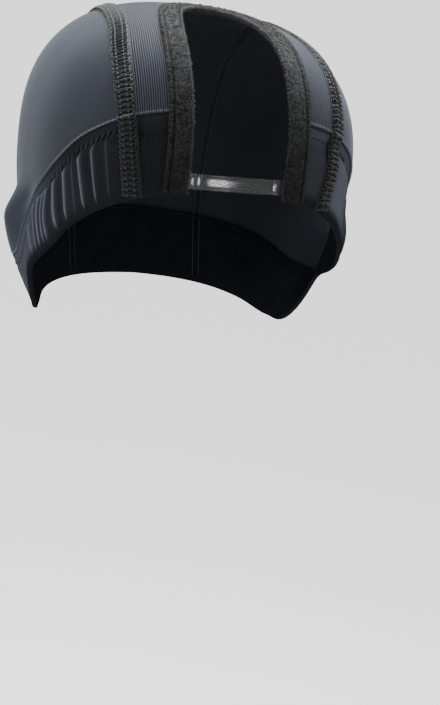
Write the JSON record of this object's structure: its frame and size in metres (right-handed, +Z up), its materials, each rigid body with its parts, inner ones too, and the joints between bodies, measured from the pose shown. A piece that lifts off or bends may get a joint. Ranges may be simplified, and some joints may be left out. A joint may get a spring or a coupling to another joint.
{
  "type": "dome wig cap",
  "caption": "Stretch dome cap for making a wig, with a plush-bound U-shaped parting opening, a clear strap across it, raised flatlock seams and a gathered elastic hem",
  "frame": {"origin": "middle of the head hollow, at the level where the cap is widest above the ears; it is the head mount", "axes": "+Z up through the crown, -Y to the forehead, +X to the wearer's left"},
  "size_m": [0.17, 0.1899, 0.1602],
  "materials": {
    "ribbed_cloth": "fine ribbed stretch knit with a soft sheen",
    "smooth_cloth": "smooth stretch knit with a soft sheen",
    "hem_cloth": "folded stretch knit, gathered by elastic",
    "seam_thread": "textured polyester thread in flatlock loops",
    "plush_binding": "brushed plush elastic with a picot edge",
    "clear_film": "clear glossy elastic film"
  },
  "bodies": {
    "root": {"middle_panel": "ribbed_cloth", "side_panel_left": "smooth_cloth", "side_panel_right": "smooth_cloth", "elastic_hem": "hem_cloth", "flatlock_seam_left": "seam_thread", "flatlock_seam_right": "seam_thread", "opening_binding": "plush_binding", "clear_strap": "clear_film"}
  },
  "joints": []
}
